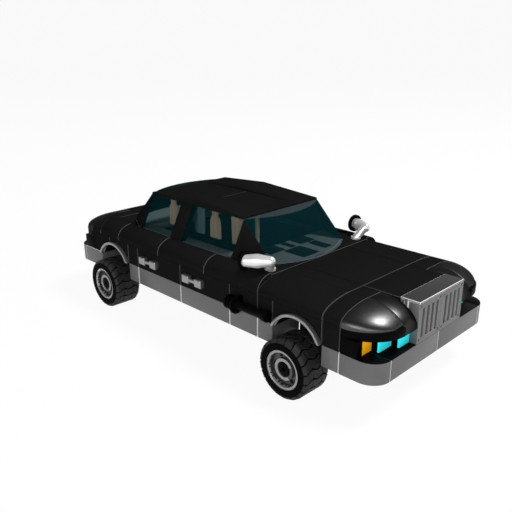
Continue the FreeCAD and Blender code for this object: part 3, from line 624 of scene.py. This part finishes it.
# Lighter and greyer: a painted reflection for the windscreen's flat top.
teal_painted_reflection = smoked("teal_painted_reflection", (0.05, 0.068, 0.072), 0.55)
pane_edge = 0.00003
reflection_normal_z = 0.9
softened("rear_window", "rear_window_panes", teal_painted_shade, width=pane_edge)
screen = softened("windscreen", "windscreen_panes", smoked_teal, width=pane_edge)
screen.data.materials[1] = teal_painted_reflection
# Faces that point up take the painted reflection.
for face in screen.data.polygons:
    face.material_index = int(face.normal.z > reflection_normal_z)
side_panes = softened("side_glass", "side_glass_panes", smoked_teal, width=pane_edge)
# The left panes take the painted shade.
side_panes.data.materials[1] = teal_painted_shade
for face in side_panes.data.polygons:
    face.material_index = int(face.center.y > 0)


# Small fittings. Dark discs behind the mirrors, the finned bars on the flanks, and the arms
# with the pins that the wheels turn on.
# These are painted near-black as well: painted shade round the small fittings.
for node in ("mirror_discs", "side_bars", "wheel_holders"):
    softened(node, node + "_moulded", black_painted_shade, width=0.0001)


# Rims. Silvered barrels with round slots and a raised ring about the pin. The dish between the
# flange and that ring is painted dark as shade in the recess, and the ring is duller than the
# flange.
silver = moulded("silvered_plastic", (0.55, 0.55, 0.555), 0.04, 0.32, 0.5, depth=0.003, metal=0.6)
# Dark metal: painted shade for the recessed dish.
dish_painted_shade = moulded("dish_painted_shade", (0.07, 0.07, 0.071), 0.1, 0.35, 0.3, depth=0.003, metal=0.6)
dish_depth = 0.0009
ring_radius = 0.0055
wheel_centres = {joint["child"]: joint["pos_m"] for joint in frame["joints"]}
for body, (centre_x, centre_y, axle_z) in wheel_centres.items():
    node = body.replace("wheel", "rim")
    rim = softened(
        node, node + "_bright", silver, width=0.00008, body=body,
    )
    rim.data.materials.append(dish_painted_shade)
    rim.data.materials.append(trim_silver)
    outward = math.copysign(1, centre_y)
    outer_face = max(outward * v.co.y for v in rim.data.vertices)
    for face in rim.data.polygons:
        from_pin = math.hypot(face.center.x - centre_x, face.center.z - axle_z)
        if outward * face.center.y < outer_face - dish_depth:
            face.material_index = 2
        elif from_pin < ring_radius:
            face.material_index = 3


# Tyres. Black rubber carcass with a bead, a bulged wall and a rounded shoulder, spun about the
# axle. Lugs stand on it in zigzag rows of three: two shoulder lugs and a bent one between.
rubber = moulded("tyre_rubber", (0.015, 0.015, 0.015), 0.2, 0.6, 0.2, grain=1900, depth=0.12, cloud=90)
# The carcass is painted ten times darker than the lugs: painted shade between and under them.
rubber_painted_shade = moulded(
    "tyre_wall", (0.0015, 0.0015, 0.0015), 0.3, 0.7, 0.03, grain=1900, depth=0.12, cloud=90,
)

# Half of the carcass's section: radius and distance from the tyre's middle, bead to tread.
half_section = (
    (0.00792, 0.00560), (0.00792, 0.00675), (0.00810, 0.00695), (0.00860, 0.00698),
    (0.00890, 0.00684), (0.00970, 0.00680), (0.00995, 0.00690), (0.01060, 0.00662),
    (0.01105, 0.00615), (0.01128, 0.00540), (0.01130, 0.00250),
)
section = list(half_section) + [(radius, -side) for radius, side in reversed(half_section)]
bpy.ops.mesh.primitive_circle_add(vertices=len(section), radius=0.001, fill_type="NOTHING")
carcass = bpy.context.object
carcass.name = "tyre_carcass"
for vertex, (radius, side) in zip(carcass.data.vertices, section):
    vertex.co = (radius, side, 0)
pick(carcass)
bpy.ops.object.mode_set(mode="EDIT")
bpy.ops.mesh.select_all(action="SELECT")
bpy.ops.mesh.spin(steps=76, angle=math.tau, center=(0, 0, 0), axis=(0, 1, 0))
bpy.ops.mesh.select_all(action="SELECT")
bpy.ops.mesh.remove_doubles(threshold=0.000005)
bpy.ops.mesh.normals_make_consistent(inside=False)
bpy.ops.object.mode_set(mode="OBJECT")
# The carcass faces take the painted shade, and the lugs take the rubber.
carcass.data.materials.append(rubber_painted_shade)
carcass.data.materials.append(rubber)

# A lug's stations across the tyre: distance from its outer side, radius, and where the lug starts
# and ends along the tread.
repeats = 19
tyre_width = 0.014
lug_radius = 0.01197
shoulder_lug = (
    (0.00035, 0.01075, 0.00950, 0.00615), (0.00080, 0.01160, 0.00940, 0.00605),
    (0.00135, lug_radius, 0.00905, 0.00585), (0.00430, lug_radius, 0.00775, 0.00445),
)
middle_lug = (
    (0.00455, lug_radius, 0.00785, 0.00475), (0.00700, lug_radius, 0.00890, 0.00545),
    (0.00945, lug_radius, 0.00785, 0.00475),
)
far_lug = [
    (tyre_width - across, radius, start, end) for across, radius, start, end in reversed(shoulder_lug)
]
for lug in (shoulder_lug, middle_lug, far_lug):
    bpy.ops.mesh.primitive_grid_add(x_subdivisions=len(lug) - 1, y_subdivisions=1, size=0.01)
    block = bpy.context.object
    stations = sorted({round(v.co.x, 7) for v in block.data.vertices})
    for vertex in block.data.vertices:
        across, radius, start, end = lug[stations.index(round(vertex.co.x, 7))]
        turn = -(start if vertex.co.y < 0 else end) / lug_radius
        vertex.co = (radius * math.cos(turn), across - tyre_width / 2, radius * math.sin(turn))
    pick(block)
    bpy.ops.object.mode_set(mode="EDIT")
    bpy.ops.mesh.select_all(action="SELECT")
    bpy.ops.mesh.normals_make_consistent(inside=False)
    bpy.ops.object.mode_set(mode="OBJECT")
    facing_out = block.data.polygons[0].normal.dot(Vector(block.data.vertices[0].co))
    if facing_out < 0:
        block.data.flip_normals()
    wall = block.modifiers.new("lug_depth", "SOLIDIFY")
    wall.thickness = 0.0011
    wall.offset = -1
    edge = block.modifiers.new("lug_edge", "BEVEL")
    edge.width = 0.00012
    edge.segments = 1
    bpy.ops.object.modifier_apply(modifier="lug_depth")
    bpy.ops.object.modifier_apply(modifier="lug_edge")
    bpy.ops.object.mode_set(mode="EDIT")
    bpy.ops.mesh.select_all(action="SELECT")
    bpy.ops.mesh.spin(
        steps=repeats - 1, dupli=True, angle=math.tau * (repeats - 1) / repeats,
        center=(0, 0, 0), axis=(0, 1, 0),
    )
    bpy.ops.object.mode_set(mode="OBJECT")
    block.data.materials.append(rubber)
    block.select_set(True)
    carcass.select_set(True)
    bpy.context.view_layer.objects.active = carcass
    bpy.ops.object.join()
pick(carcass)
bpy.ops.object.shade_smooth_by_angle(angle=math.radians(35))
for body, centre in wheel_centres.items():
    node = body.replace("wheel", "tyre")
    tyre = copied(carcass, node + "_tread")
    mirror = -math.copysign(1, centre[1])
    tyre.data.transform(Matrix.Translation(centre) @ Matrix.Diagonal((1, mirror, 1, 1)))
    if mirror < 0:
        tyre.data.flip_normals()
    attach(tyre, body)
    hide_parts(node)
bpy.data.objects.remove(carcass)
